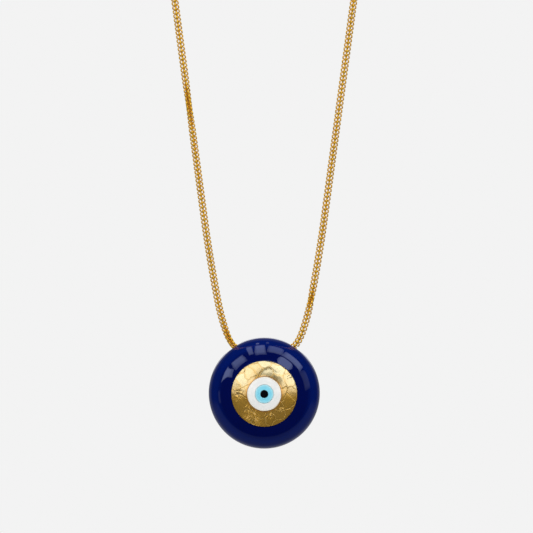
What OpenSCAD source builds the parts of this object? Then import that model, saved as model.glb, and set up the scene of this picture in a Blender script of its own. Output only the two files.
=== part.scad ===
// Evil eye pendant: a puffed round bead of cobalt glass with a gold leaf eye on its front,
// threaded on a fine link chain that closes into a necklace behind the neck.
// It hangs as worn: +Z up, the eye looks along -Y, and the origin is under the clasp,
// at the point of the loop that rests on the nape. Lengths are in millimetres.

/* [Bead] */
// Diameter of the bead, seen from the front
bead_d = 22; // [19:0.5:28]
// Thickness of the bead through its centre
bead_t = 12.5; // [11:0.5:15]
// Radius of the rounded rim, seen from the side
rim_r = 5; // [4:0.1:5.4]
// How far the axis of the bore lies below the top of the bead
bore_drop = 2.1; // [1.9:0.1:2.5]
// Play between the chain and the wall of the bore, all round
bore_play = 0.65; // [0.55:0.05:0.7]

/* [Eye] */
// Diameter of the gold leaf disc
gold_d = 12.9; // [10:0.1:14]
// Thickness of the glass-backed gold leaf
gold_t = 0.5; // [0.3:0.1:1]
// Diameter of the white dot
white_d = 6.7; // [5:0.1:8]
// Depth of the white dot
white_t = 1.6; // [1.3:0.1:2]
// Diameter of the light blue iris
iris_d = 3.6; // [2.6:0.1:4.4]
// Depth of the iris
iris_t = 1; // [0.8:0.1:1.1]
// Diameter of the black pupil
pupil_d = 1.5; // [1:0.1:2]
// Depth of the pupil
pupil_t = 0.5; // [0.3:0.1:0.6]
// Height by which each ring of the eye stands proud of the ring around it
ring_h = 0.05; // [0.02:0.01:0.1]
// Gap left round each inlaid piece
inlay_gap = 0.04; // [0.02:0.01:0.06]

/* [Chain] */
// Length of the closed necklace, with its clasp
necklace_l = 450; // [400:10:700]
// Width of the chain over its links, the same all round
chain_w = 1.25; // [1:0.05:1.4]
// How far inside the outline of the bead the chain starts to bend upwards
bend_in = 1.5; // [1.3:0.1:1.7]

/* [Clasp] */
// Diameter of the barrel
barrel_d = 2.6; // [2.2:0.1:3.4]
// Length of the barrel
barrel_l = 6.4; // [5:0.2:9]
// Depth of the seam groove between the two screwed halves
seam_depth = 0.2; // [0.1:0.05:0.3]
// Width of the seam groove
seam_w = 0.3; // [0.2:0.05:0.5]
// Diameter of the neck that carries each end ring
neck_d = 1.5; // [1.2:0.1:1.8]
// Length of the neck
neck_l = 0.5; // [0.3:0.1:0.8]
// Inner diameter of the end rings
eye_d = 1.1; // [0.9:0.1:1.4]
// Wire diameter of the end rings
eye_wire = 0.6; // [0.5:0.05:0.7]
// Gap between the end ring and the end of the chain
end_gap = 0.1; // [0.05:0.05:0.3]

/* [Hidden] */
$fn = 96;

// Bends of one strand as it leaves the bead, from the bore upwards:
// [radius of the bend as a share of the bead's radius, turn]
bends = [[0.14, 54], [0.9, 17], [4, 8], [27, 3.3]];
bend_rings = 4;
arch_rings = 12;
run_rings = 8;
chain_sides = 8;
// How far a cutting shape runs past what it cuts
past = 1;

// Profile of the bead: two equal domes that run smoothly into the round rim
bead_r = bead_d / 2;
half_t = bead_t / 2;
rim_c = bead_r - rim_r;
dome_r = (bead_r * bead_r + half_t * half_t - 2 * bead_r * rim_r) / (2 * (half_t - rim_r));
dome_c = half_t - dome_r;
reach = 2 * dome_r;
rim_way = [rim_c, -dome_c] * reach / norm([rim_c, -dome_c]);

// Bore, level with the strands where they leave the outline of the bead
bore_d = chain_w + 2 * bore_play;
bore_up = bead_r - bore_drop;
bore_half = sqrt(bead_r * bead_r - bore_up * bore_up);

// Clasp
eye_out = eye_d + 2 * eye_wire;
eye_sunk = eye_wire / 2;
clasp_half = barrel_l / 2 + neck_l - eye_sunk + eye_out;
eye_x = clasp_half - eye_out / 2;

// Route of one strand in the XZ plane from the middle of the bore, as [x, z, heading]
function bent(p, r, turn) =
    [p[0] + r * (sin(p[2] + turn) - sin(p[2])), p[1] + r * (cos(p[2]) - cos(p[2] + turn)), p[2] + turn];
function ahead(p, l) = [p[0] + l * cos(p[2]), p[1] + l * sin(p[2]), p[2]];
function after_bends(p, i) =
    i == 0 ? p : bent(after_bends(p, i - 1), bead_r * bends[i - 1][0], bends[i - 1][1]);
function arc_l(r, turn) = r * turn * PI / 180;
function total(v, i = 0) = i == len(v) ? 0 : v[i] + total(v, i + 1);

bore_mid = [0, bore_up, 0];
bend_start = ahead(bore_mid, bore_half - bend_in);
run_start = after_bends(bend_start, len(bends));
lean = 90 - run_start[2];
arch_turn = 90 + lean;
bends_l = total([for (b = bends) arc_l(bead_r * b[0], b[1])]);
// The straight run and the arch share what the bends and the clasp leave of the necklace's length
spare_l = necklace_l / 2 - bend_start[0] - bends_l - clasp_half - end_gap;
arch_k = arch_turn * PI / 180;
arch_from = (run_start[0] - clasp_half - end_gap) / cos(lean);
run_l = (spare_l - arch_k * arch_from) / (1 + arch_k * tan(lean));
run_end = ahead(run_start, run_l);
arch_r = (run_end[0] - clasp_half - end_gap) / cos(lean);
arch_end = bent(run_end, arch_r, arch_turn);

// Height of the loop's centre line at the clasp above the centre of the bead
loop_h = arch_end[1];
bead_z = barrel_d / 2 - loop_h;

strand = concat(
    [bend_start],
    [for (i = [0:len(bends) - 1]) let (p = after_bends(bend_start, i))
        for (k = [1:bend_rings]) bent(p, bead_r * bends[i][0], bends[i][1] * k / bend_rings)],
    [for (k = [1:run_rings]) ahead(run_start, run_l * k / run_rings)],
    [for (k = [1:arch_rings]) bent(run_end, arch_r, arch_turn * k / arch_rings)]
);
route = concat(
    [for (i = [len(strand) - 1:-1:0]) [-strand[i][0], strand[i][1], -strand[i][2]]],
    [bore_mid],
    strand
);

// Lays a shape that was turned about Z with its front up into the bead's place
module at_bead() {
    translate([0, 0, bead_z]) rotate([90, 0, 0]) children();
}

// Half of the bead's section on one side of its middle plane
module dome_section() {
    intersection() {
        translate([0, dome_c]) circle(r = dome_r);
        polygon([[0, 0], [rim_c, 0], [rim_c, 0] + rim_way, [0, reach]]);
    }
    intersection() {
        translate([rim_c, 0]) circle(r = rim_r);
        polygon([[rim_c, 0], [rim_c + reach, 0], [rim_c, 0] + rim_way]);
    }
}

// Section of a piece that lies under the dome from radius r_in to r_out, between two depths
module inlay_section(r_in, r_out, top, depth) {
    translate([0, dome_c]) intersection() {
        difference() {
            circle(r = dome_r + top);
            circle(r = dome_r - depth);
        }
        translate([r_in, 0]) square([r_out - r_in, reach]);
    }
}

// Seat that an inlaid piece of this diameter and depth needs
module seat_section(d, depth) {
    inlay_section(0, d / 2 + inlay_gap, bead_d, depth + inlay_gap);
}

module bead() {
    color("midnightblue") difference() {
        at_bead() rotate_extrude() difference() {
            union() {
                dome_section();
                mirror([0, 1]) dome_section();
            }
            seat_section(gold_d, gold_t);
            seat_section(white_d, white_t);
        }
        translate([0, 0, bead_z + bore_up]) rotate([0, 90, 0])
            cylinder(d = bore_d, h = bead_d, center = true);
    }
}

module gold_disc() {
    color("goldenrod") at_bead() rotate_extrude()
        inlay_section(white_d / 2 + inlay_gap, gold_d / 2, ring_h, gold_t);
}

module white_dot() {
    color("ivory") at_bead() rotate_extrude() difference() {
        inlay_section(0, white_d / 2, 2 * ring_h, white_t);
        seat_section(iris_d, iris_t);
    }
}

module iris() {
    color("skyblue") at_bead() rotate_extrude() difference() {
        inlay_section(0, iris_d / 2, 3 * ring_h, iris_t);
        seat_section(pupil_d, pupil_t);
    }
}

module pupil() {
    color("black") at_bead() rotate_extrude()
        inlay_section(0, pupil_d / 2, 4 * ring_h, pupil_t);
}

// The chain's outer form: one tube swept along the whole route, open at the clasp
module chain() {
    rings = len(route);
    points = [for (p = route) for (j = [0:chain_sides - 1])
        let (q = 360 * (j + 0.5) / chain_sides, side = chain_w / 2 * cos(q), face = chain_w / 2 * sin(q))
        [p[0] - side * sin(p[2]), face, p[1] + side * cos(p[2]) + bead_z]];
    walls = [for (i = [0:rings - 2]) for (j = [0:chain_sides - 1])
        let (a = i * chain_sides + j, b = i * chain_sides + (j + 1) % chain_sides)
        each [[a, b, a + chain_sides], [b, b + chain_sides, a + chain_sides]]];
    first_cap = [for (j = [chain_sides - 1:-1:0]) j];
    last_cap = [for (j = [0:chain_sides - 1]) (rings - 1) * chain_sides + j];
    color("gold") polyhedron(points, concat(walls, [first_cap, last_cap]));
}

// One end ring of the clasp with the neck that carries it
module clasp_end() {
    translate([barrel_l / 2 - eye_sunk, 0, 0]) rotate([0, 90, 0])
        cylinder(d = neck_d, h = neck_l + eye_sunk);
    translate([eye_x, 0, 0]) rotate([90, 0, 0]) rotate_extrude()
        translate([(eye_d + eye_wire) / 2, 0]) circle(d = eye_wire);
}

// A closed screw barrel with a ring at each end for the last link of the chain
module clasp() {
    color("goldenrod") translate([0, 0, barrel_d / 2]) {
        difference() {
            rotate([0, 90, 0]) cylinder(d = barrel_d, h = barrel_l, center = true);
            rotate([0, 90, 0]) difference() {
                cylinder(d = barrel_d + past, h = seam_w, center = true);
                cylinder(d = barrel_d - 2 * seam_depth, h = seam_w + past, center = true);
            }
        }
        clasp_end();
        mirror([1, 0, 0]) clasp_end();
    }
}

bead();
gold_disc();
white_dot();
iris();
pupil();
chain();
clasp();
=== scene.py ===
import math

import bmesh
import bpy
import numpy as np
from mathutils import Matrix, Vector


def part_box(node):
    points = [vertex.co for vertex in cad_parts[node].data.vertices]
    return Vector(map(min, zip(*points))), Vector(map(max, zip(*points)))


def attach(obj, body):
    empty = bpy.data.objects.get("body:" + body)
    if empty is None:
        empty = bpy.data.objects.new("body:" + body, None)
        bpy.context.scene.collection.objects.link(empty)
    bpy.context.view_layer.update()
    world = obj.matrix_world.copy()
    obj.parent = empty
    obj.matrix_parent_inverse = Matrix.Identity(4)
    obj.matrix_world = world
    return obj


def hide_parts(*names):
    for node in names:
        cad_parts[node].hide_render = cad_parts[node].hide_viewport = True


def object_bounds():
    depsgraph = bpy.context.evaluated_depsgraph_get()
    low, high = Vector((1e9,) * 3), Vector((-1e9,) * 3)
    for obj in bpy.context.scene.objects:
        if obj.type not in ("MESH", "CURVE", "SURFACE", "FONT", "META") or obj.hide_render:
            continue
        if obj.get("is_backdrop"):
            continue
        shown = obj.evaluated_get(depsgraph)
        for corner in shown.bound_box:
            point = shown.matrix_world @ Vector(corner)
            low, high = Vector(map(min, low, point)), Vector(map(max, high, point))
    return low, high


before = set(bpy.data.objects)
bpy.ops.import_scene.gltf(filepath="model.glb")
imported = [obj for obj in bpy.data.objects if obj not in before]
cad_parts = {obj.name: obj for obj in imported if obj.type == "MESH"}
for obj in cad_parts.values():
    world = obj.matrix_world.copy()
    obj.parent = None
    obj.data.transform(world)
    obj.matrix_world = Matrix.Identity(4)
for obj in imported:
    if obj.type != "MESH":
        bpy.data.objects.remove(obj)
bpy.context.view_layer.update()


# The bead is a puffed round of cobalt glass, pressed hot and fire polished: two shallow domes
# run into a thick round rim. A stepped seat in its front takes the eye, and a level bore below
# its top lets the chain through, with lips that the flame has softened.
MM = 0.001
BEAD_RADIUS = 11.0
BEAD_HALF_DEPTH = 6.25
RIM_ROUND = 5.0
BORE_RADIUS = 1.275
BORE_ABOVE_MIDDLE = 8.9
LIP_FLARE = 0.16
LIP_LENGTH = 3.0
LIP_INSIDE = 1.9
BORE_TOOL_HALF = 12.0
BORE_TURNS = 64
INLAY_GAP = 0.04
BEAD_TURNS = 224
bead_low, bead_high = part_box("bead")
BEAD_MIDDLE = Vector((0.0, 0.0, (bead_low.z + bead_high.z) / 2))
RIM_MIDDLE = BEAD_RADIUS - RIM_ROUND
DOME_RADIUS = (BEAD_RADIUS ** 2 + BEAD_HALF_DEPTH ** 2 - 2 * BEAD_RADIUS * RIM_ROUND) / (
    2 * (BEAD_HALF_DEPTH - RIM_ROUND))
DOME_MIDDLE = BEAD_HALF_DEPTH - DOME_RADIUS
DOME_EDGE = RIM_MIDDLE * DOME_RADIUS / (DOME_RADIUS - RIM_ROUND)


def dome_height(r, lift=0.0):
    """Height of the dome, or of a layer this far above it, over the bead's middle plane."""
    return DOME_MIDDLE + np.sqrt((DOME_RADIUS + lift) ** 2 - np.asarray(r, float) ** 2)


def glass_height(r):
    """Half of the bead's thickness at this distance from its axis."""
    r = np.asarray(r, float)
    rim = np.sqrt(np.maximum(RIM_ROUND ** 2 - (r - RIM_MIDDLE) ** 2, 0))
    return np.where(r < DOME_EDGE, dome_height(np.minimum(r, DOME_EDGE)), rim)


def in_bead_place(points):
    """Turned points (across, up, towards the eye) in millimetres become points of the scene."""
    points = np.asarray(points, float) * MM
    return np.stack([points[:, 0], -points[:, 2], points[:, 1]], 1) + np.array(BEAD_MIDDLE)


def meshed(name, points, faces):
    """A smooth mesh piece from points of the scene and the corners of its faces."""
    mesh = bpy.data.meshes.new(name)
    mesh.from_pydata([tuple(p) for p in points], [], faces)
    mesh.validate()
    mesh.update()
    mesh.polygons.foreach_set("use_smooth", [True] * len(mesh.polygons))
    piece = bpy.data.objects.new(name, mesh)
    bpy.context.scene.collection.objects.link(piece)
    return piece


def turned(name, profile, turns, closed=False, moved=None):
    """Turns a profile of (radius, height) about the bead's axis. Ends on the axis become points.
    moved gives each corner (radius, angle, height) its own small shift of radius and height."""
    angles = np.arange(turns) * 2 * math.pi / turns
    points, rows = [], []
    for radius, height in profile:
        if radius < 1e-6:
            rows.append([len(points)])
            points.append((0.0, 0.0, height))
            continue
        radii = np.full(turns, radius)
        heights = np.full(turns, height)
        if moved is not None:
            radii, heights = moved(radii, angles, heights)
        rows.append(list(range(len(points), len(points) + turns)))
        points += list(zip(radii * np.sin(angles), radii * np.cos(angles), heights))
    faces = []
    pairs = list(zip(rows, rows[1:]))
    if closed:
        pairs.append((rows[-1], rows[0]))
    for low, high in pairs:
        for i in range(turns):
            j = (i + 1) % turns
            corners = [low[i % len(low)], low[j % len(low)], high[j % len(high)], high[i % len(high)]]
            faces.append([c for n, c in enumerate(corners) if c not in corners[:n]])
    return meshed(name, in_bead_place(points), faces)


GOLD_RADIUS = 6.45
GOLD_DEPTH = 0.5
WHITE_RADIUS = 3.35
WHITE_DEPTH = 1.6
SEAT_ROUND = 0.05

gold_seat = GOLD_RADIUS + INLAY_GAP
white_seat = WHITE_RADIUS + INLAY_GAP
seat_floor = np.linspace(0, white_seat, 12)
gold_floor = np.linspace(white_seat, gold_seat, 14)
dome_run = np.linspace(gold_seat + SEAT_ROUND, DOME_EDGE, 16)
rim_turns = np.linspace(math.asin((DOME_EDGE - RIM_MIDDLE) / RIM_ROUND), math.pi / 2, 44)
bead_profile = list(zip(seat_floor, dome_height(seat_floor, -WHITE_DEPTH - INLAY_GAP)))
bead_profile += list(zip(gold_floor, dome_height(gold_floor, -GOLD_DEPTH - INLAY_GAP)))
bead_profile += [(gold_seat, float(dome_height(gold_seat)) - SEAT_ROUND)]
bead_profile += list(zip(dome_run, dome_height(dome_run)))
rim_front = [(RIM_MIDDLE + RIM_ROUND * math.sin(t), RIM_ROUND * math.cos(t)) for t in rim_turns[1:]]
bead_profile += rim_front
bead_profile += [(r, -h) for r, h in reversed(rim_front[:-1])]
back_run = np.linspace(DOME_EDGE, 0, 30)
bead_profile += list(zip(back_run, -dome_height(back_run)))
glass_bead = turned("glass_bead", bead_profile, BEAD_TURNS)

lip_start = math.sqrt(BEAD_RADIUS ** 2 - BORE_ABOVE_MIDDLE ** 2) - LIP_INSIDE
lip_end = lip_start + LIP_LENGTH
bore_run = [-BORE_TOOL_HALF] + list(np.linspace(-lip_end, lip_end, 64)) + [BORE_TOOL_HALF]
bore_points, bore_faces = [], []
for x in bore_run:
    opened = min(max((abs(x) - lip_start) / LIP_LENGTH, 0), 1)
    radius = BORE_RADIUS + LIP_FLARE * opened * opened
    for k in range(BORE_TURNS):
        a = 2 * math.pi * k / BORE_TURNS
        bore_points.append((x, BORE_ABOVE_MIDDLE + radius * math.cos(a), radius * math.sin(a)))
for i in range(len(bore_run) - 1):
    low, high = i * BORE_TURNS, (i + 1) * BORE_TURNS
    for k in range(BORE_TURNS):
        j = (k + 1) % BORE_TURNS
        bore_faces.append([low + k, low + j, high + j, high + k])
bore_faces.append(list(range(BORE_TURNS - 1, -1, -1)))
bore_faces.append([(len(bore_run) - 1) * BORE_TURNS + k for k in range(BORE_TURNS)])
bore_tool = meshed("bore_tool", in_bead_place(bore_points), bore_faces)


def facing_out(piece):
    """Turns all faces of a closed piece outwards."""
    shape = bmesh.new()
    shape.from_mesh(piece.data)
    bmesh.ops.recalc_face_normals(shape, faces=shape.faces)
    shape.to_mesh(piece.data)
    shape.free()


def settled(piece):
    """Applies the modifiers of a piece to its mesh."""
    looked = bpy.context.evaluated_depsgraph_get()
    mesh = bpy.data.meshes.new_from_object(piece.evaluated_get(looked))
    piece.modifiers.clear()
    piece.data = mesh


facing_out(glass_bead)
facing_out(bore_tool)
drill = glass_bead.modifiers.new("drill", "BOOLEAN")
drill.operation = "DIFFERENCE"
drill.solver = "EXACT"
drill.object = bore_tool
settled(glass_bead)
bpy.data.objects.remove(bore_tool)


def polish_bead(piece):
    """Gives each corner the normal of the true surface that it lies on, so the gloss is even."""
    mesh = piece.data
    spots = np.zeros(len(mesh.vertices) * 3)
    mesh.vertices.foreach_get("co", spots)
    spots = (spots.reshape(-1, 3) - np.array(BEAD_MIDDLE)) / MM
    normals = []
    for face in mesh.polygons:
        c = (np.array(face.center) - np.array(BEAD_MIDDLE)) / MM
        r = math.hypot(c[0], c[2])
        off_bore = math.hypot(c[1], c[2] - BORE_ABOVE_MIDDLE)
        outside = abs(abs(c[1]) - float(glass_height(min(r, BEAD_RADIUS)))) < 0.12 or r > 10.9
        in_seat = c[1] < 0 and r < gold_seat + SEAT_ROUND
        for loop in face.loop_indices:
            p = spots[mesh.loops[loop].vertex_index]
            if in_seat:
                n = np.array(face.normal)
            elif outside and off_bore > BORE_RADIUS - 0.05:
                pr = max(math.hypot(p[0], p[2]), 1e-9)
                if pr < DOME_EDGE:
                    n = np.array([p[0], p[1] - (-DOME_MIDDLE if p[1] < 0 else DOME_MIDDLE), p[2]])
                else:
                    n = np.array([p[0] * (1 - RIM_MIDDLE / pr), p[1], p[2] * (1 - RIM_MIDDLE / pr)])
            else:
                n = np.array([0.0, -p[1], BORE_ABOVE_MIDDLE - p[2]])
            normals.append(n / max(np.linalg.norm(n), 1e-9))
    mesh.normals_split_custom_set(normals)


polish_bead(glass_bead)


def finish_of(name, **settings):
    """A new material with its shader's own sockets set, and handy access to its nodes."""
    finish = bpy.data.materials.new(name)
    finish.use_nodes = True
    shader = finish.node_tree.nodes["Principled BSDF"]
    for socket, value in settings.items():
        shader.inputs[socket.replace("_", " ")].default_value = value
    return finish, finish.node_tree.nodes, finish.node_tree.links, shader


def off_axis(nodes, links, place):
    """Distance of a shading point from the bead's axis, in millimetres."""
    from_axis = nodes.new("ShaderNodeVectorMath")
    from_axis.operation = "MULTIPLY_ADD"
    from_axis.inputs[1].default_value = (1000.0, 0.0, 1000.0)
    from_axis.inputs[2].default_value = (0.0, 0.0, -1000.0 * BEAD_MIDDLE.z)
    links.new(place.outputs["Object"], from_axis.inputs[0])
    reach = nodes.new("ShaderNodeVectorMath")
    reach.operation = "LENGTH"
    links.new(from_axis.outputs["Vector"], reach.inputs[0])
    return reach.outputs["Value"]


def dress(piece, finish):
    """Gives the whole piece one finish."""
    piece.data.materials.clear()
    piece.data.materials.append(finish)


cobalt, nodes, links, shader = finish_of(
    "cobalt_glass", Roughness=0.03, IOR=1.74, Specular_Tint=(0.5, 0.6, 1.0, 1))
place = nodes.new("ShaderNodeTexCoord")
swirl = nodes.new("ShaderNodeTexNoise")
swirl.inputs["Scale"].default_value = 260.0
swirl.inputs["Detail"].default_value = 3.0
links.new(place.outputs["Object"], swirl.inputs["Vector"])
# Near the rim the base colour turns a brighter, more saturated blue: a painted glow of light passing
# through the thin edge of the glass.
painted_rim_glow_mask = nodes.new("ShaderNodeMapRange")
painted_rim_glow_mask.interpolation_type = "SMOOTHSTEP"
painted_rim_glow_mask.inputs["From Min"].default_value = 8.3
painted_rim_glow_mask.inputs["From Max"].default_value = 9.6
painted_rim_glow_mask.inputs["To Min"].default_value = 0.0
painted_rim_glow_mask.inputs["To Max"].default_value = 1.0
links.new(off_axis(nodes, links, place), painted_rim_glow_mask.inputs["Value"])
glass_and_painted_rim_glow = nodes.new("ShaderNodeMix")
glass_and_painted_rim_glow.data_type = "RGBA"
glass_and_painted_rim_glow.inputs["A"].default_value = (0.0, 0.003, 0.076, 1)
glass_and_painted_rim_glow.inputs["B"].default_value = (0.0, 0.0085, 0.128, 1)
links.new(painted_rim_glow_mask.outputs["Result"], glass_and_painted_rim_glow.inputs["Factor"])
swirl_tone = nodes.new("ShaderNodeMix")
swirl_tone.data_type = "RGBA"
swirl_tone.blend_type = "MULTIPLY"
swirl_tone.inputs["Factor"].default_value = 0.25
links.new(glass_and_painted_rim_glow.outputs["Result"], swirl_tone.inputs["A"])
links.new(swirl.outputs["Fac"], swirl_tone.inputs["B"])
links.new(swirl_tone.outputs["Result"], shader.inputs["Base Color"])
ripple = nodes.new("ShaderNodeTexNoise")
ripple.inputs["Scale"].default_value = 420.0
ripple.inputs["Detail"].default_value = 1.0
links.new(place.outputs["Object"], ripple.inputs["Vector"])
ripple_bump = nodes.new("ShaderNodeBump")
ripple_bump.inputs["Strength"].default_value = 0.06
ripple_bump.inputs["Distance"].default_value = 0.0004
links.new(ripple.outputs["Fac"], ripple_bump.inputs["Height"])
links.new(ripple_bump.outputs["Normal"], shader.inputs["Normal"])
dress(glass_bead, cobalt)
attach(glass_bead, "pendant")
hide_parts("bead")


# The gold disc is real gold leaf, laid on the hot glass and fused under a thin clear skin. It broke
# into flat patches with fine cracks between them, is crumpled in a few places, and is browned
# where the white dot was melted into it. Its colour is painted paler towards the top, a painted
# highlight of light from above, with painted shade along the large patch edges and beside the
# white dot up there.
LEAF_TURNS = 720
LEAF_RINGS = 112
LEAF_LIFT_IN = 0.01
LEAF_LIFT_OUT = 0.11
CRACK_WIDTH = 0.11
CRACK_DEPTH = 0.02
# Where the leaf is crumpled: across, up and radius, in millimetres
CRUMPLED = ((-5.0, 0.0, 0.8), (3.0, -2.9, 0.9), (1.1, -4.1, 0.8), (-3.3, -2.8, 0.6), (-2.6, -5.0, 0.6),
            (5.0, 3.3, 0.4))
leaf_dice = np.random.default_rng(21)


def dot_edge(angles):
    """How far the melted edge of the white dot strays from a true circle, in millimetres."""
    broad = 0.022 * np.sin(3 * angles + 0.6) + 0.016 * np.sin(5 * angles + 2.1)
    return broad + 0.01 * np.sin(8 * angles)


def leaf_patches(spacing, lift, tilt, cracked):
    """The patches of one size that the leaf breaks into: middle, height, tilt and tone of each."""
    run = np.arange(-GOLD_RADIUS - spacing, GOLD_RADIUS + 2 * spacing, spacing)
    x, y = np.meshgrid(run, run)
    x[::2] += spacing / 2
    count = x.size
    return {
        "x": x.ravel() + leaf_dice.uniform(-0.4, 0.4, count) * spacing,
        "y": y.ravel() + leaf_dice.uniform(-0.4, 0.4, count) * spacing,
        "lift": leaf_dice.uniform(-lift, lift, count),
        "tilt_x": leaf_dice.uniform(-tilt, tilt, count),
        "tilt_y": leaf_dice.uniform(-tilt, tilt, count),
        "tone": leaf_dice.uniform(0, 1, count),
        "blend": 0.12 * spacing ** 2,
        "cracked": cracked}


def patch_relief(x, y, patches):
    """Height, tone, nearness to a crack and distance from the patch's edge at each point."""
    off_x, off_y = x[:, None] - patches["x"], y[:, None] - patches["y"]
    far = off_x ** 2 + off_y ** 2
    row = np.arange(len(x))
    pair = np.argpartition(far, 1)[:, :2]
    swapped = far[row, pair[:, 0]] > far[row, pair[:, 1]]
    first = np.where(swapped, pair[:, 1], pair[:, 0])
    second = np.where(swapped, pair[:, 0], pair[:, 1])
    between = np.hypot(patches["x"][first] - patches["x"][second],
                       patches["y"][first] - patches["y"][second])
    off_crack = (far[row, second] - far[row, first]) / (2 * between)
    # A fixed number for each pair of neighbours picks the pairs that have a crack between them
    mark = ((first + second) * 7919 + np.abs(first - second) * 104729) % 997
    crack = 0.5 + 0.5 * np.cos(math.pi * np.clip(off_crack / CRACK_WIDTH, 0, 1))
    crack = np.where(mark < 997 * patches["cracked"], crack, 0)
    share = np.exp((far[row, first][:, None] - far) / patches["blend"])
    share /= share.sum(1)[:, None]
    plane = patches["lift"] + patches["tilt_x"] * off_x + patches["tilt_y"] * off_y
    return (share * plane).sum(1), patches["tone"][first], crack, off_crack


large_patches = leaf_patches(2.2, 0.004, 0.022, 0.6)
small_patches = leaf_patches(0.6, 0.01, 0.18, 0.8)
leaf_radii = np.linspace(white_seat, GOLD_RADIUS, LEAF_RINGS)
leaf_rise = (leaf_radii ** 2 - white_seat ** 2) / (GOLD_RADIUS ** 2 - white_seat ** 2)
leaf_lift = LEAF_LIFT_IN + (LEAF_LIFT_OUT - LEAF_LIFT_IN) * leaf_rise
leaf_profile = list(zip(leaf_radii, dome_height(leaf_radii) + leaf_lift))
leaf_under = np.linspace(GOLD_RADIUS, white_seat, 6)
leaf_profile += list(zip(leaf_under, dome_height(leaf_under, -GOLD_DEPTH)))
leaf_tones_and_painted_top_light, leaf_cracks = [], []


def crumple(radii, angles, heights):
    """Breaks and crumples the upper side of the leaf; its inner edge follows the white dot."""
    r = radii[0]
    inner = max(0.0, 1 - (r - white_seat) / 0.3)
    outer = max(0.0, 1 - (GOLD_RADIUS - r) / 0.15)
    top = heights[0] > float(dome_height(r, -GOLD_DEPTH / 2))
    x, y = r * np.sin(angles), r * np.cos(angles)
    wavy_x = x + 0.16 * np.sin(2.1 * y + 1.0) + 0.05 * np.sin(6.3 * y)
    wavy_y = y + 0.16 * np.sin(1.9 * x + 2.0) + 0.05 * np.sin(5.7 * x)
    large, large_tone, large_crack, off_large = patch_relief(wavy_x, wavy_y, large_patches)
    small, small_tone, small_crack, _ = patch_relief(wavy_x, wavy_y, small_patches)
    crumpled = sum(np.exp(-((x - a) ** 2 + (y - b) ** 2) / c ** 2) for a, b, c in CRUMPLED)
    crumpled = np.clip(0.03 + crumpled, 0, 1)
    crack = np.maximum(large_crack, small_crack * crumpled)
    # A share that grows towards the top of the disc paints the leaf paler there, a painted highlight of
    # light from above. Near the large patch edges and beside the white dot that paleness is taken back, as
    # painted shade. The same share makes the cracks shallower near the top.
    painted_top_light = np.clip(0.25 + y / 3.0, 0, 1)
    pale = (0.1 + 0.9 * painted_top_light) * (0.45 * large_tone + 0.15 * small_tone) + 0.6 * painted_top_light
    pale -= 0.45 * painted_top_light * (np.exp(-off_large / 0.16) + math.exp(-(r - white_seat) / 0.6))
    leaf_tones_and_painted_top_light.append(np.clip(pale, 0, 1))
    leaf_cracks.append(crack)
    relief = large + small * crumpled - CRACK_DEPTH * (1.6 - 1.4 * painted_top_light) * crack if top else 0.0
    return radii + dot_edge(angles) * inner, heights + relief * (1 - max(0.7 * inner, outer))


gold_leaf_disc = turned("gold_leaf_disc", leaf_profile, LEAF_TURNS, closed=True, moved=crumple)
facing_out(gold_leaf_disc)
for label, values in (("leaf_tone_and_painted_top_light", leaf_tones_and_painted_top_light), ("leaf_crack", leaf_cracks)):
    layer = gold_leaf_disc.data.attributes.new(label, "FLOAT", "POINT")
    layer.data.foreach_set("value", np.concatenate(values).astype(np.float32))

leaf, nodes, links, shader = finish_of("gold_leaf", Metallic=0.8, Coat_Weight=1.0, Coat_Roughness=0.06,
                                       Coat_IOR=1.5)
place = nodes.new("ShaderNodeTexCoord")
tone = nodes.new("ShaderNodeAttribute")
tone.attribute_name = "leaf_tone_and_painted_top_light"
crack = nodes.new("ShaderNodeAttribute")
crack.attribute_name = "leaf_crack"
grain = nodes.new("ShaderNodeTexNoise")
grain.inputs["Scale"].default_value = 2600.0
grain.inputs["Detail"].default_value = 5.0
links.new(place.outputs["Object"], grain.inputs["Vector"])
# The leaf's colour runs from a deep gold, the shaded copy, to a pale cream gold, the lit copy. The mix is
# partly each patch's own random tone and partly painted light from above.
leaf_gold = nodes.new("ShaderNodeMix")
leaf_gold.data_type = "RGBA"
leaf_gold.inputs["A"].default_value = (0.86, 0.47, 0.05, 1)
leaf_gold.inputs["B"].default_value = (0.97, 0.83, 0.48, 1)
links.new(tone.outputs["Fac"], leaf_gold.inputs["Factor"])
torn_gold = nodes.new("ShaderNodeMix")
torn_gold.data_type = "RGBA"
torn_gold.inputs["B"].default_value = (0.98, 0.66, 0.2, 1)
crack_share = nodes.new("ShaderNodeMath")
crack_share.operation = "MULTIPLY"
crack_share.inputs[1].default_value = 0.6
links.new(crack.outputs["Fac"], crack_share.inputs[0])
links.new(crack_share.outputs["Value"], torn_gold.inputs["Factor"])
links.new(leaf_gold.outputs["Result"], torn_gold.inputs["A"])
browning = nodes.new("ShaderNodeMapRange")
browning.interpolation_type = "SMOOTHSTEP"
browning.inputs["From Min"].default_value = WHITE_RADIUS + 0.55
browning.inputs["From Max"].default_value = WHITE_RADIUS
browning.inputs["To Min"].default_value = 0.0
browning.inputs["To Max"].default_value = 0.6
links.new(off_axis(nodes, links, place), browning.inputs["Value"])
browned = nodes.new("ShaderNodeMix")
browned.data_type = "RGBA"
browned.inputs["B"].default_value = (0.85, 0.36, 0.05, 1)
links.new(browning.outputs["Result"], browned.inputs["Factor"])
links.new(torn_gold.outputs["Result"], browned.inputs["A"])
links.new(browned.outputs["Result"], shader.inputs["Base Color"])
dulling = nodes.new("ShaderNodeMapRange")
dulling.inputs["To Min"].default_value = 0.14
dulling.inputs["To Max"].default_value = 0.26
links.new(grain.outputs["Fac"], dulling.inputs["Value"])
roughened = nodes.new("ShaderNodeMath")
roughened.operation = "MULTIPLY_ADD"
roughened.inputs[1].default_value = 0.15
links.new(crack.outputs["Fac"], roughened.inputs[0])
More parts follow.
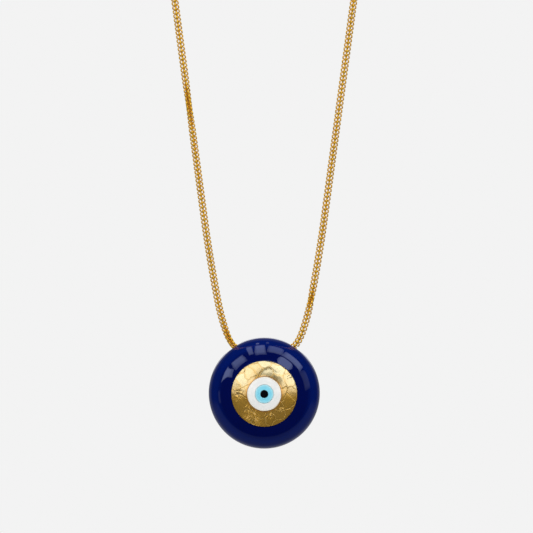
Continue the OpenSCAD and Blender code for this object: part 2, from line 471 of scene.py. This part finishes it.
links.new(dulling.outputs["Result"], roughened.inputs[2])
links.new(roughened.outputs["Value"], shader.inputs["Roughness"])
wrinkle = nodes.new("ShaderNodeBump")
wrinkle.inputs["Strength"].default_value = 0.1
wrinkle.inputs["Distance"].default_value = 0.00003
links.new(grain.outputs["Fac"], wrinkle.inputs["Height"])
links.new(wrinkle.outputs["Normal"], shader.inputs["Normal"])
dress(gold_leaf_disc, leaf)
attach(gold_leaf_disc, "pendant")
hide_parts("gold_disc")


# The white of the eye is a dab of opaque white glass, melted through the leaf so that its edge
# rounds over and strays a little from a circle. It holds the blue iris in a seat of its own.
IRIS_RADIUS = 1.8
IRIS_DEPTH = 1.0
WHITE_LIFT = 0.1
DOT_TURNS = 192
DOT_ROUND = 0.06


def dab_profile(r_out, lift, depth, seat_r=0.0, seat_depth=0.0):
    """Section of a melted dab of glass under the dome, with a seat for the next dab if it has one."""
    top = np.linspace(seat_r + DOT_ROUND / 2 if seat_r else 0.0, r_out - DOT_ROUND, 16)
    low = np.linspace(r_out - DOT_ROUND, 0, 6)
    profile = []
    if seat_r:
        floor = np.linspace(0, seat_r, 8)
        profile += list(zip(floor, dome_height(floor, -seat_depth)))
        profile += [(seat_r, float(dome_height(seat_r, lift)) - DOT_ROUND / 2)]
    profile += list(zip(top, dome_height(top, lift)))
    edge = float(dome_height(r_out - DOT_ROUND, lift)) - DOT_ROUND
    for t in np.linspace(0, math.pi / 2, 6)[1:]:
        profile.append((r_out - DOT_ROUND + DOT_ROUND * math.sin(t), edge + DOT_ROUND * math.cos(t)))
    profile.append((r_out, float(dome_height(r_out, -depth)) + DOT_ROUND))
    profile += list(zip(low, dome_height(low, -depth)))
    return profile


def iris_edge(angles):
    """How far the melted edge of the iris strays from a true circle, in millimetres."""
    return 0.014 * np.sin(2 * angles + 1.2) + 0.011 * np.sin(5 * angles + 0.4)


def straying(edge_in, r_in, edge_out, r_out):
    """A shift that follows one stray edge at the inner radius and another at the outer one."""
    def shift(radii, angles, heights):
        share = min(max((radii[0] - r_in) / (r_out - r_in), 0), 1)
        near_axis = min(radii[0] / max(r_in, 1e-6), 1) if r_in else share
        stray = edge_in(angles) * (1 - share) * near_axis + edge_out(angles) * share
        return radii + stray, heights
    return shift


iris_seat = IRIS_RADIUS + INLAY_GAP
white_dot = turned(
    "white_glass_dot",
    dab_profile(WHITE_RADIUS, WHITE_LIFT, WHITE_DEPTH, iris_seat, IRIS_DEPTH + INLAY_GAP),
    DOT_TURNS, moved=straying(iris_edge, iris_seat, dot_edge, WHITE_RADIUS))
facing_out(white_dot)


def dab_glass(name, colour, cloud, cloud_share, edge=None, edge_colour=None, **settings):
    """Opaque glass with faint clouds in its colour, and a paler or darker ring near its edge."""
    finish, nodes, links, shader = finish_of(name, **settings)
    place = nodes.new("ShaderNodeTexCoord")
    clouds = nodes.new("ShaderNodeTexNoise")
    clouds.inputs["Scale"].default_value = 900.0
    clouds.inputs["Detail"].default_value = 3.0
    links.new(place.outputs["Object"], clouds.inputs["Vector"])
    spread = nodes.new("ShaderNodeMapRange")
    spread.inputs["From Min"].default_value = 0.35
    spread.inputs["From Max"].default_value = 0.7
    spread.inputs["To Max"].default_value = cloud_share
    links.new(clouds.outputs["Fac"], spread.inputs["Value"])
    body = nodes.new("ShaderNodeMix")
    body.data_type = "RGBA"
    body.inputs["A"].default_value = colour
    body.inputs["B"].default_value = cloud
    links.new(spread.outputs["Result"], body.inputs["Factor"])
    last = body.outputs["Result"]
    if edge:
        ring = nodes.new("ShaderNodeMapRange")
        ring.interpolation_type = "SMOOTHSTEP"
        ring.inputs["From Min"].default_value = edge[0]
        ring.inputs["From Max"].default_value = edge[1]
        links.new(off_axis(nodes, links, place), ring.inputs["Value"])
        rimmed = nodes.new("ShaderNodeMix")
        rimmed.data_type = "RGBA"
        rimmed.inputs["B"].default_value = edge_colour
        links.new(ring.outputs["Result"], rimmed.inputs["Factor"])
        links.new(last, rimmed.inputs["A"])
        last = rimmed.outputs["Result"]
    links.new(last, shader.inputs["Base Color"])
    skin = nodes.new("ShaderNodeBump")
    skin.inputs["Strength"].default_value = 0.05
    skin.inputs["Distance"].default_value = 0.0001
    links.new(clouds.outputs["Fac"], skin.inputs["Height"])
    links.new(skin.outputs["Normal"], shader.inputs["Normal"])
    return finish


dress(white_dot, dab_glass(
    "white_glass", (0.9, 0.9, 0.88, 1), (0.78, 0.8, 0.8, 1), 0.5,
    (WHITE_RADIUS - 0.35, WHITE_RADIUS), (0.86, 0.8, 0.68, 1), Roughness=0.12, IOR=1.5))
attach(white_dot, "pendant")
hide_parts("white_dot")


# The iris is a smaller dab of light blue glass on the white one. It is palest where it thins out
# at its edge, and has a seat for the pupil.
PUPIL_RADIUS = 0.75
PUPIL_DEPTH = 0.5
IRIS_LIFT = 0.15


def pupil_edge(angles):
    """How far the edge of the pupil strays from a true circle, in millimetres."""
    return 0.01 * np.sin(3 * angles + 2.0)


pupil_seat = PUPIL_RADIUS + INLAY_GAP
iris = turned(
    "blue_iris", dab_profile(IRIS_RADIUS, IRIS_LIFT, IRIS_DEPTH, pupil_seat, PUPIL_DEPTH + INLAY_GAP),
    DOT_TURNS, moved=straying(pupil_edge, pupil_seat, iris_edge, IRIS_RADIUS))
facing_out(iris)
dress(iris, dab_glass(
    "blue_glass", (0.23, 0.69, 0.87, 1), (0.3, 0.75, 0.9, 1), 0.6,
    (IRIS_RADIUS - 0.5, IRIS_RADIUS), (0.42, 0.8, 0.9, 1), Roughness=0.1, IOR=1.5))
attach(iris, "pendant")
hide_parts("iris")


# The pupil is the last and smallest drop, of black glass, and stands a hair proud of the iris.
PUPIL_LIFT = 0.2
pupil = turned(
    "black_pupil", dab_profile(PUPIL_RADIUS, PUPIL_LIFT, PUPIL_DEPTH),
    DOT_TURNS, moved=straying(pupil_edge, 0.0, pupil_edge, PUPIL_RADIUS))
facing_out(pupil)
dress(pupil, dab_glass(
    "black_glass", (0.001, 0.001, 0.002, 1), (0.003, 0.003, 0.005, 1), 0.6,
    Roughness=0.06, IOR=1.5))
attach(pupil, "pendant")
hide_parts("pupil")


# The chain is machine made from fine flat brass wire, gold plated: wide oval links, each turned a
# quarter round from the last, so two rows of holes show on either side of a thin spine. It runs
# through the bore, straight up both sides of the neck and round behind it to the clasp.
NECKLACE_LENGTH = 450.0
LINK_WIDTH = 1.48
LINK_LENGTH = 0.807
WIRE_AT_END = 0.2
WIRE_AT_SIDE = 0.3
WIRE_ACROSS = 0.42
LINK_SQUARENESS = 0.34
LINK_LEAN = 13.0
LINK_TURNS = 14
WIRE_SIDES = 6
LINK_PITCH = 0.4155
LAST_LINK_ROOM = 0.63
END_RING_X = 5.62
END_RING_RADIUS = 0.76
END_RING_WIRE = 0.28
BEND_IN = 1.5
BENDS = ((0.14, 54.0), (0.9, 17.0), (4.0, 8.0), (27.0, 3.3))
CLASP_HALF = 5.7
CLASP_GAP = 0.1
CLASP_HEIGHT = 1.3


def strand_path():
    """The arcs of one strand from the middle of the bore: (length, x, z, heading, radius)."""
    x, z, heading = 0.0, BORE_ABOVE_MIDDLE, 0.0
    first = math.sqrt(BEAD_RADIUS ** 2 - BORE_ABOVE_MIDDLE ** 2) - BEND_IN
    path = [(first, x, z, heading, None)]
    x += first
    for share, turn in BENDS:
        radius = share * BEAD_RADIUS
        path.append((radius * math.radians(turn), x, z, heading, radius))
        end = heading + math.radians(turn)
        x += radius * (math.sin(end) - math.sin(heading))
        z += radius * (math.cos(heading) - math.cos(end))
        heading = end
    turn = math.pi - heading
    lean = math.pi / 2 - heading
    spare = NECKLACE_LENGTH / 2 - sum(p[0] for p in path) - CLASP_HALF - CLASP_GAP
    start = (x - CLASP_HALF - CLASP_GAP) / math.cos(lean)
    run = (spare - turn * start) / (1 + turn * math.tan(lean))
    path.append((run, x, z, heading, None))
    x += run * math.cos(heading)
    z += run * math.sin(heading)
    path.append((spare - run, x, z, heading, (spare - run) / turn))
    return path


STRAND = strand_path()
STRAND_LENGTH = sum(p[0] for p in STRAND)


def on_strand(s):
    """Point and heading at a length along the strand; a negative length is on the left strand."""
    left, s = s < 0, abs(s)
    for length, x, z, heading, radius in STRAND:
        if s <= length or length == STRAND[-1][0]:
            break
        s -= length
    if radius:
        end = heading + s / radius
        x += radius * (math.sin(end) - math.sin(heading))
        z += radius * (math.cos(heading) - math.cos(end))
        heading = end
    else:
        x += s * math.cos(heading)
        z += s * math.sin(heading)
    return (-x, z, -heading) if left else (x, z, heading)


# How far the chain is turned about itself, in degrees, at lengths along it from the bore
CHAIN_TURNS = (
    (-219.2, 90), (-120, 84), (-75, 95), (-60, 84), (-55, 45), (-50, 12), (-40, 6), (-25, -8),
    (-14, 6), (-10.5, 14), (-7, 44), (0, 20), (7, -12), (12, 0), (14.5, 16), (17, 68), (20, 94),
    (30, 82), (44, 95), (62, 90), (80, 100), (120, 84), (219.2, 90))


def link_mesh():
    """All links of the chain as one list of points and faces."""
    count = int(STRAND_LENGTH / LINK_PITCH)
    count -= count % 2
    pitch = (STRAND_LENGTH - LAST_LINK_ROOM) / count
    u = (np.arange(LINK_TURNS) + 0.5) * 2 * math.pi / LINK_TURNS
    c, s = np.cos(u), np.sin(u)
    across = (LINK_WIDTH - WIRE_AT_SIDE) / 2 * np.sign(c) * np.abs(c) ** LINK_SQUARENESS
    along = (LINK_LENGTH - WIRE_AT_END) / 2 * np.sign(s) * np.abs(s) ** LINK_SQUARENESS
    thick = WIRE_AT_END + (WIRE_AT_SIDE - WIRE_AT_END) * c ** 2
    flow_across = np.roll(across, -1) - np.roll(across, 1)
    flow_along = np.roll(along, -1) - np.roll(along, 1)
    size = np.hypot(flow_across, flow_along)
    out_across, out_along = flow_along / size, -flow_across / size
    v = np.arange(WIRE_SIDES) * 2 * math.pi / WIRE_SIDES
    points, faces = [], []
    for k in range(-count, count + 1):
        x, z, heading = on_strand(k * pitch)
        ahead = np.array([math.cos(heading), 0, math.sin(heading)])
        level = np.array([0.0, 1.0, 0.0])
        side = np.array([math.sin(heading), 0, -math.cos(heading)])
        turn = math.radians(np.interp(k * pitch, *zip(*CHAIN_TURNS)))
        lean = math.radians(LINK_LEAN if k % 2 == 0 else -LINK_LEAN)
        turn += 0 if k % 2 == 0 else math.pi / 2
        flat = math.cos(turn) * side + math.sin(turn) * level
        wide = math.cos(lean) * flat + math.sin(lean) * ahead
        long = math.cos(lean) * ahead - math.sin(lean) * flat
        face_way = np.cross(wide, long)
        ring = np.array([x, 0, z]) + across[:, None] * wide + along[:, None] * long
        out = out_across[:, None] * wide + out_along[:, None] * long
        tube = (ring[:, None] + thick[:, None, None] / 2 * np.cos(v)[None, :, None] * out[:, None]
                + WIRE_ACROSS / 2 * np.sin(v)[None, :, None] * face_way)
        first = len(points)
        points += list(tube.reshape(-1, 3))
        for i in range(LINK_TURNS):
            for j in range(WIRE_SIDES):
                a, b = i * WIRE_SIDES, (i + 1) % LINK_TURNS * WIRE_SIDES
                n = (j + 1) % WIRE_SIDES
                faces.append((first + a + j, first + a + n, first + b + n, first + b + j))
    return points, faces


link_points, link_faces = link_mesh()


def wire_ring(points, faces, middle, radius, wire, turns, sides):
    """Adds one round soldered ring that lies level."""
    first = len(points)
    for i in range(turns):
        a = 2 * math.pi * i / turns
        for j in range(sides):
            b = 2 * math.pi * j / sides
            r = radius + wire / 2 * math.cos(b)
            rise = wire / 2 * math.sin(b)
            points.append((middle[0] + r * math.cos(a), r * math.sin(a), middle[2] + rise))
    for i in range(turns):
        for j in range(sides):
            k = (j + 1) % sides
            a, b = first + i * sides, first + (i + 1) % turns * sides
            faces.append((a + j, b + j, b + k, a + k))


clasp_line = CLASP_HEIGHT - BEAD_MIDDLE.z / MM
for side_way in (-1, 1):
    ring_middle = (side_way * END_RING_X, 0, clasp_line)
    wire_ring(link_points, link_faces, ring_middle, END_RING_RADIUS, END_RING_WIRE, 24, 8)
chain = meshed("link_chain", np.array(link_points) * MM + np.array(BEAD_MIDDLE), link_faces)
facing_out(chain)

plate, nodes, links, shader = finish_of("gold_plate", Metallic=0.62, Roughness=0.2)
place = nodes.new("ShaderNodeTexCoord")
wear = nodes.new("ShaderNodeTexNoise")
wear.inputs["Scale"].default_value = 700.0
wear.inputs["Detail"].default_value = 4.0
links.new(place.outputs["Object"], wear.inputs["Vector"])
plate_tone = nodes.new("ShaderNodeMix")
plate_tone.data_type = "RGBA"
plate_tone.inputs["A"].default_value = (1.0, 0.52, 0.02, 1)
plate_tone.inputs["B"].default_value = (1.0, 0.66, 0.08, 1)
links.new(wear.outputs["Fac"], plate_tone.inputs["Factor"])
links.new(plate_tone.outputs["Result"], shader.inputs["Base Color"])
plate_gloss = nodes.new("ShaderNodeMapRange")
plate_gloss.inputs["To Min"].default_value = 0.15
plate_gloss.inputs["To Max"].default_value = 0.28
links.new(wear.outputs["Fac"], plate_gloss.inputs["Value"])
links.new(plate_gloss.outputs["Result"], shader.inputs["Roughness"])
dress(chain, plate)
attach(chain, "necklace")
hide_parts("chain")


# The clasp is a screw barrel of brass, gold plated like the chain: two turned halves that meet
# at a fine groove, each with a short neck and a soldered ring that carries the end of the chain.
BARREL_RADIUS = 1.3
BARREL_HALF = 3.2
SHOULDER = 0.45
SEAM_DEPTH = 0.2
SEAM_HALF = 0.15
NECK_RADIUS = 0.75
RING_WIRE = 0.6
RING_MIDDLE = 4.55
RING_RADIUS = 0.85
RING_TURNS = 48
RING_SIDES = 16
BARREL_TURNS = 64


def barrel_mesh():
    """The turned body of the clasp along its own axis, both necks included."""
    half = [(0.0, BARREL_RADIUS - SEAM_DEPTH), (SEAM_HALF, BARREL_RADIUS - SEAM_DEPTH),
            (SEAM_HALF, BARREL_RADIUS - 0.04), (SEAM_HALF + 0.04, BARREL_RADIUS)]
    half.append((BARREL_HALF - SHOULDER, BARREL_RADIUS))
    for t in np.linspace(0, math.pi / 2, 9)[1:]:
        half.append((BARREL_HALF - SHOULDER + SHOULDER * math.sin(t),
                     BARREL_RADIUS - SHOULDER + SHOULDER * math.cos(t)))
    half += [(BARREL_HALF, NECK_RADIUS + 0.05), (BARREL_HALF + 0.05, NECK_RADIUS),
             (BARREL_HALF + 0.45, NECK_RADIUS - 0.05), (BARREL_HALF + 0.5, NECK_RADIUS - 0.15)]
    line = [(-x, r) for x, r in reversed(half[1:])] + half
    points, faces = [], []
    for x, r in line:
        for k in range(BARREL_TURNS):
            a = 2 * math.pi * k / BARREL_TURNS
            points.append((x, r * math.sin(a), r * math.cos(a)))
    for i in range(len(line) - 1):
        for k in range(BARREL_TURNS):
            a, b, n = i * BARREL_TURNS, (i + 1) * BARREL_TURNS, (k + 1) % BARREL_TURNS
            faces.append((a + k, a + n, b + n, b + k))
    faces.append(tuple(range(BARREL_TURNS)))
    faces.append(tuple((len(line) - 1) * BARREL_TURNS + k for k in range(BARREL_TURNS)))
    return points, faces


def upright_ring(middle_x):
    """One of the clasp's soldered end rings, standing in the plane of the necklace."""
    points, faces = [], []
    for i in range(RING_TURNS):
        a = 2 * math.pi * i / RING_TURNS
        for j in range(RING_SIDES):
            b = 2 * math.pi * j / RING_SIDES
            r = RING_RADIUS + RING_WIRE / 2 * math.cos(b)
            points.append((middle_x + r * math.cos(a), RING_WIRE / 2 * math.sin(b), r * math.sin(a)))
    for i in range(RING_TURNS):
        a, b = i * RING_SIDES, (i + 1) % RING_TURNS * RING_SIDES
        for j in range(RING_SIDES):
            k = (j + 1) % RING_SIDES
            faces.append((a + j, b + j, b + k, a + k))
    return points, faces


def clasp_place(points):
    """Points about the clasp's own middle, in millimetres, become points of the scene."""
    return np.array(points) * MM + np.array([0, 0, CLASP_HEIGHT * MM])


barrel_points, barrel_faces = barrel_mesh()
clasp = meshed("barrel_clasp", clasp_place(barrel_points), barrel_faces)
facing_out(clasp)
for way in (-1, 1):
    ring_points, ring_faces = upright_ring(way * RING_MIDDLE)
    end_ring = meshed("end_ring", clasp_place(ring_points), ring_faces)
    facing_out(end_ring)
    solder = clasp.modifiers.new("solder", "BOOLEAN")
    solder.operation = "UNION"
    solder.solver = "EXACT"
    solder.object = end_ring
    settled(clasp)
    bpy.data.objects.remove(end_ring)
clasp.data.set_sharp_from_angle(angle=math.radians(40))
dress(clasp, plate)
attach(clasp, "necklace")
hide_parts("clasp")


# The set: a pale seamless floor that turns up into a round wall far off, all round the necklace
# as it hangs, so every side is seen against the same plain ground.
FLOOR_LEVEL = -1.35
FLOOR_REACH = 4.0
WALL_TOP = 2.6
FLOOR_TURNS = 96
floor_line = [(0.0, FLOOR_LEVEL), (1.5, FLOOR_LEVEL), (FLOOR_REACH - 1.0, FLOOR_LEVEL)]
for t in np.linspace(0, math.pi / 2, 14)[1:]:
    floor_line.append((FLOOR_REACH - 1.0 + math.sin(t), FLOOR_LEVEL + 1.0 - math.cos(t)))
floor_line.append((FLOOR_REACH, WALL_TOP))
floor_points, floor_faces = [(0.0, 0.0, FLOOR_LEVEL)], []
for r, z in floor_line[1:]:
    for k in range(FLOOR_TURNS):
        a = 2 * math.pi * k / FLOOR_TURNS
        floor_points.append((r * math.sin(a), r * math.cos(a), z))
for k in range(FLOOR_TURNS):
    floor_faces.append((0, 1 + k, 1 + (k + 1) % FLOOR_TURNS))
for i in range(len(floor_line) - 2):
    a, b = 1 + i * FLOOR_TURNS, 1 + (i + 1) * FLOOR_TURNS
    for k in range(FLOOR_TURNS):
        n = (k + 1) % FLOOR_TURNS
        floor_faces.append((a + k, a + n, b + n, b + k))
floor = meshed("pale_floor", floor_points, floor_faces)
ground, nodes, links, shader = finish_of("pale_ground", Roughness=1.0, Specular_IOR_Level=0.0)
shader.inputs["Base Color"].default_value = (0.0, 0.0, 0.0, 1)
shader.inputs["Emission Color"].default_value = (1, 1, 1, 1)
shader.inputs["Emission Strength"].default_value = 0.896
dress(floor, ground)
floor.visible_glossy = False
floor.visible_diffuse = False
floor.visible_shadow = False
floor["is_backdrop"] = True


# The lights are soft boxes round the bead, placed by the angle from its top and the angle off
# the camera's line, and set by how bright they look. Each fades a little towards its edges, and
# the dark gaps between them draw the bars in the reflections on the glass.
def worked(lamp, operation, *values):
    """One sum among the nodes of a lamp, from numbers and outputs of other nodes."""
    node = lamp.node_tree.nodes.new("ShaderNodeMath")
    node.operation = operation
    for socket, value in zip(node.inputs, values):
        if isinstance(value, float):
            socket.default_value = value
        else:
            lamp.node_tree.links.new(value, socket)
    return node.outputs["Value"]


def soft_box(name, from_top, off_line, width, height, glow, shape="RECTANGLE", turn=0.0, taper=0.0):
    """One soft box a metre from the bead, facing it. turn is about its own middle, in degrees, and
    taper narrows its end next to the camera's line."""
    a, p, t = math.radians(from_top), math.radians(off_line), math.radians(turn)
    way = Vector((math.sin(p) * math.sin(a), -math.cos(p), math.sin(p) * math.cos(a)))
    level = Vector((math.cos(a), 0, -math.sin(a)))
    steep = way.cross(level)
    wide = math.cos(t) * level + math.sin(t) * steep
    tall = math.cos(t) * steep - math.sin(t) * level
    lamp = bpy.data.lights.new(name, "AREA")
    lamp.shape = shape
    lamp.size = width
    lamp.size_y = height
    area = width * height * (math.pi / 4 if shape == "ELLIPSE" else 1)
    lamp.energy = glow * math.pi * area
    lamp.use_nodes = True
    parts, wires = lamp.node_tree.nodes, lamp.node_tree.links
    place = parts.new("ShaderNodeTexCoord")
    split = parts.new("ShaderNodeSeparateXYZ")
    wires.new(place.outputs["UV"], split.inputs["Vector"])
    across = worked(lamp, "SUBTRACT", split.outputs["X"], 0.5)
    along = worked(lamp, "SUBTRACT", split.outputs["Y"], 0.5)
    narrowed = worked(lamp, "MULTIPLY", across, worked(lamp, "MULTIPLY_ADD", along, -taper, 1 + taper / 2))
    strength = 1.0
    for off in (narrowed, along):
        size = worked(lamp, "ABSOLUTE", off)
        fade = parts.new("ShaderNodeMapRange")
        fade.interpolation_type = "SMOOTHSTEP"
        fade.inputs["From Min"].default_value = 0.5
        fade.inputs["From Max"].default_value = 0.3
        fade.inputs["To Min"].default_value = 0.55
        fade.inputs["To Max"].default_value = 1.0
        wires.new(size, fade.inputs["Value"])
        kept = worked(lamp, "MULTIPLY", fade.outputs["Result"], worked(lamp, "LESS_THAN", size, 0.5))
        strength = worked(lamp, "MULTIPLY", kept, strength)
    wires.new(strength, parts["Emission"].inputs["Strength"])
    thing = bpy.data.objects.new(name, lamp)
    spot = BEAD_MIDDLE + way
    thing.matrix_world = Matrix((
        (wide.x, tall.x, way.x, spot.x),
        (wide.y, tall.y, way.y, spot.y),
        (wide.z, tall.z, way.z, spot.z),
        (0, 0, 0, 1)))
    thing.visible_camera = False
    bpy.context.scene.collection.objects.link(thing)
    return lamp


soft_box("box_left_low", -63, 56, 0.42, 0.46, 2.3, turn=12, taper=1.6)
soft_box("box_left", -40, 54.5, 0.31, 0.45, 1.8)
soft_box("box_top_left", -19, 71.5, 0.125, 0.86, 1.5)
soft_box("box_top", -5.3, 68, 0.235, 0.86, 1.75)
soft_box("box_top_right", 15.5, 70, 0.35, 0.64, 1.3)
soft_box("box_right_inner", 36, 42, 0.33, 0.22, 2.2, "ELLIPSE")
soft_box("box_right", 42.5, 66, 0.51, 0.52, 2.0)
soft_box("box_right_low", 73, 63, 0.43, 0.56, 0.42)
soft_box("box_left_end", -96, 71, 0.27, 0.2, 0.25)
soft_box("box_over_left", -8, 102, 0.06, 0.2, 1.3)
soft_box("box_over_right", 4, 105, 0.06, 0.22, 0.5)
soft_box("box_low_left", -157, 30, 0.22, 0.09, 1.5, "ELLIPSE")
soft_box("box_behind", 0, 163, 1.0, 0.3, 1.2)

# A round soft light about the camera's line, bright in its upper half. It is open in the middle
# for the camera, so the middle of the eye stays dark, and has two more dark spots that the
# crescent and the wedge in the leaf's reflection come from.
ROUND_SIZE = 1.52
DARK_SPOTS = ((0.0, 0.0, 0.17, 0.17), (0.06, 0.2, 0.26, 0.225), (-0.5, 0.1, 0.12, 0.05))
round_light = soft_box("round_front", 0, 0, ROUND_SIZE, ROUND_SIZE, 1.0, "ELLIPSE")
parts, wires = round_light.node_tree.nodes, round_light.node_tree.links
place = parts.new("ShaderNodeTexCoord")
split = parts.new("ShaderNodeSeparateXYZ")
wires.new(place.outputs["UV"], split.inputs["Vector"])
across = worked(round_light, "MULTIPLY_ADD", split.outputs["X"], ROUND_SIZE, -ROUND_SIZE / 2)
along = worked(round_light, "MULTIPLY_ADD", split.outputs["Y"], ROUND_SIZE, -ROUND_SIZE / 2)
strength = parts.new("ShaderNodeMapRange")
strength.inputs["From Min"].default_value = -0.02
strength.inputs["From Max"].default_value = 0.02
strength.inputs["To Min"].default_value = 0.07
strength.inputs["To Max"].default_value = 1.25
wires.new(along, strength.inputs["Value"])
lit = strength.outputs["Result"]
for middle_x, middle_y, half_x, half_y in DARK_SPOTS:
    off_x = worked(round_light, "MULTIPLY_ADD", across, 1 / half_x, -middle_x / half_x)
    off_y = worked(round_light, "MULTIPLY_ADD", along, 1 / half_y, -middle_y / half_y)
    far = worked(round_light, "MULTIPLY_ADD", off_x, off_x, worked(round_light, "MULTIPLY", off_y, off_y))
    lit = worked(round_light, "MULTIPLY", lit, worked(round_light, "GREATER_THAN", far, 1.0))
wires.new(lit, parts["Emission"].inputs["Strength"])

world = bpy.data.worlds.new("studio_air")
bpy.context.scene.world = world
world.use_nodes = True
world.cycles.sampling_method = "NONE"
air, wires = world.node_tree.nodes, world.node_tree.links
for old in list(air):
    air.remove(old)
seen = air.new("ShaderNodeBackground")
seen.inputs["Color"].default_value = (0.896, 0.896, 0.896, 1)
lighting = air.new("ShaderNodeBackground")
lighting.inputs["Color"].default_value = (1, 1, 1, 1)
towards = air.new("ShaderNodeTexCoord")
height = air.new("ShaderNodeSeparateXYZ")
wires.new(towards.outputs["Generated"], height.inputs["Vector"])
from_floor = air.new("ShaderNodeMapRange")
from_floor.inputs["From Min"].default_value = 1.0
from_floor.inputs["From Max"].default_value = -1.0
from_floor.inputs["To Min"].default_value = 0.64
from_floor.inputs["To Max"].default_value = 0.46
wires.new(height.outputs["Z"], from_floor.inputs["Value"])
wires.new(from_floor.outputs["Result"], lighting.inputs["Strength"])
mirrored = air.new("ShaderNodeBackground")
mirrored.inputs["Color"].default_value = (1, 1, 1, 1)
behind = air.new("ShaderNodeMapRange")
behind.inputs["From Min"].default_value = 0.5
behind.inputs["From Max"].default_value = 0.95
behind.inputs["To Min"].default_value = 0.025
behind.inputs["To Max"].default_value = 0.28
wires.new(height.outputs["Y"], behind.inputs["Value"])
past_edge = air.new("ShaderNodeMath")
past_edge.operation = "MULTIPLY_ADD"
past_edge.inputs[1].default_value = -0.55
wires.new(height.outputs["Z"], past_edge.inputs[0])
wires.new(height.outputs["Y"], past_edge.inputs[2])
table = air.new("ShaderNodeMapRange")
table.inputs["From Min"].default_value = -0.02
table.inputs["From Max"].default_value = 0.06
table.inputs["To Max"].default_value = 0.1
wires.new(past_edge.outputs["Value"], table.inputs["Value"])
below = air.new("ShaderNodeMapRange")
below.interpolation_type = "SMOOTHSTEP"
below.inputs["From Min"].default_value = -0.1
below.inputs["From Max"].default_value = -0.35
wires.new(height.outputs["Z"], below.inputs["Value"])
table_glow = air.new("ShaderNodeMath")
table_glow.operation = "MULTIPLY_ADD"
wires.new(table.outputs["Result"], table_glow.inputs[0])
wires.new(below.outputs["Result"], table_glow.inputs[1])
wires.new(behind.outputs["Result"], table_glow.inputs[2])
wires.new(table_glow.outputs["Value"], mirrored.inputs["Strength"])
ray = air.new("ShaderNodeLightPath")
indirect = air.new("ShaderNodeMixShader")
wires.new(ray.outputs["Is Diffuse Ray"], indirect.inputs["Fac"])
wires.new(mirrored.outputs["Background"], indirect.inputs[1])
wires.new(lighting.outputs["Background"], indirect.inputs[2])
chosen = air.new("ShaderNodeMixShader")
wires.new(ray.outputs["Is Camera Ray"], chosen.inputs["Fac"])
wires.new(indirect.outputs["Shader"], chosen.inputs[1])
wires.new(seen.outputs["Background"], chosen.inputs[2])
out = air.new("ShaderNodeOutputWorld")
wires.new(chosen.outputs["Shader"], out.inputs["Surface"])


# The camera looks level at the front, as in the picture: both strands leave the frame at the top.
CAMERA_DISTANCE = 0.8
FRAME_WIDTH = 0.1055
SENSOR_WIDTH = 36.0
FRAME_MIDDLE_X = 0.00044
FRAME_ABOVE_BEAD = 0.02505
lens = bpy.data.cameras.new("camera")
lens.sensor_width = SENSOR_WIDTH
lens.lens = SENSOR_WIDTH * CAMERA_DISTANCE / FRAME_WIDTH
lens.clip_start = 0.01
lens.clip_end = 50.0
camera = bpy.data.objects.new("camera", lens)
bpy.context.scene.collection.objects.link(camera)
camera.location = (FRAME_MIDDLE_X, -CAMERA_DISTANCE, BEAD_MIDDLE.z + FRAME_ABOVE_BEAD)
camera.rotation_euler = (math.pi / 2, 0, 0)
bpy.context.scene.camera = camera
bpy.context.scene.view_settings.view_transform = "Standard"

low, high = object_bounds()
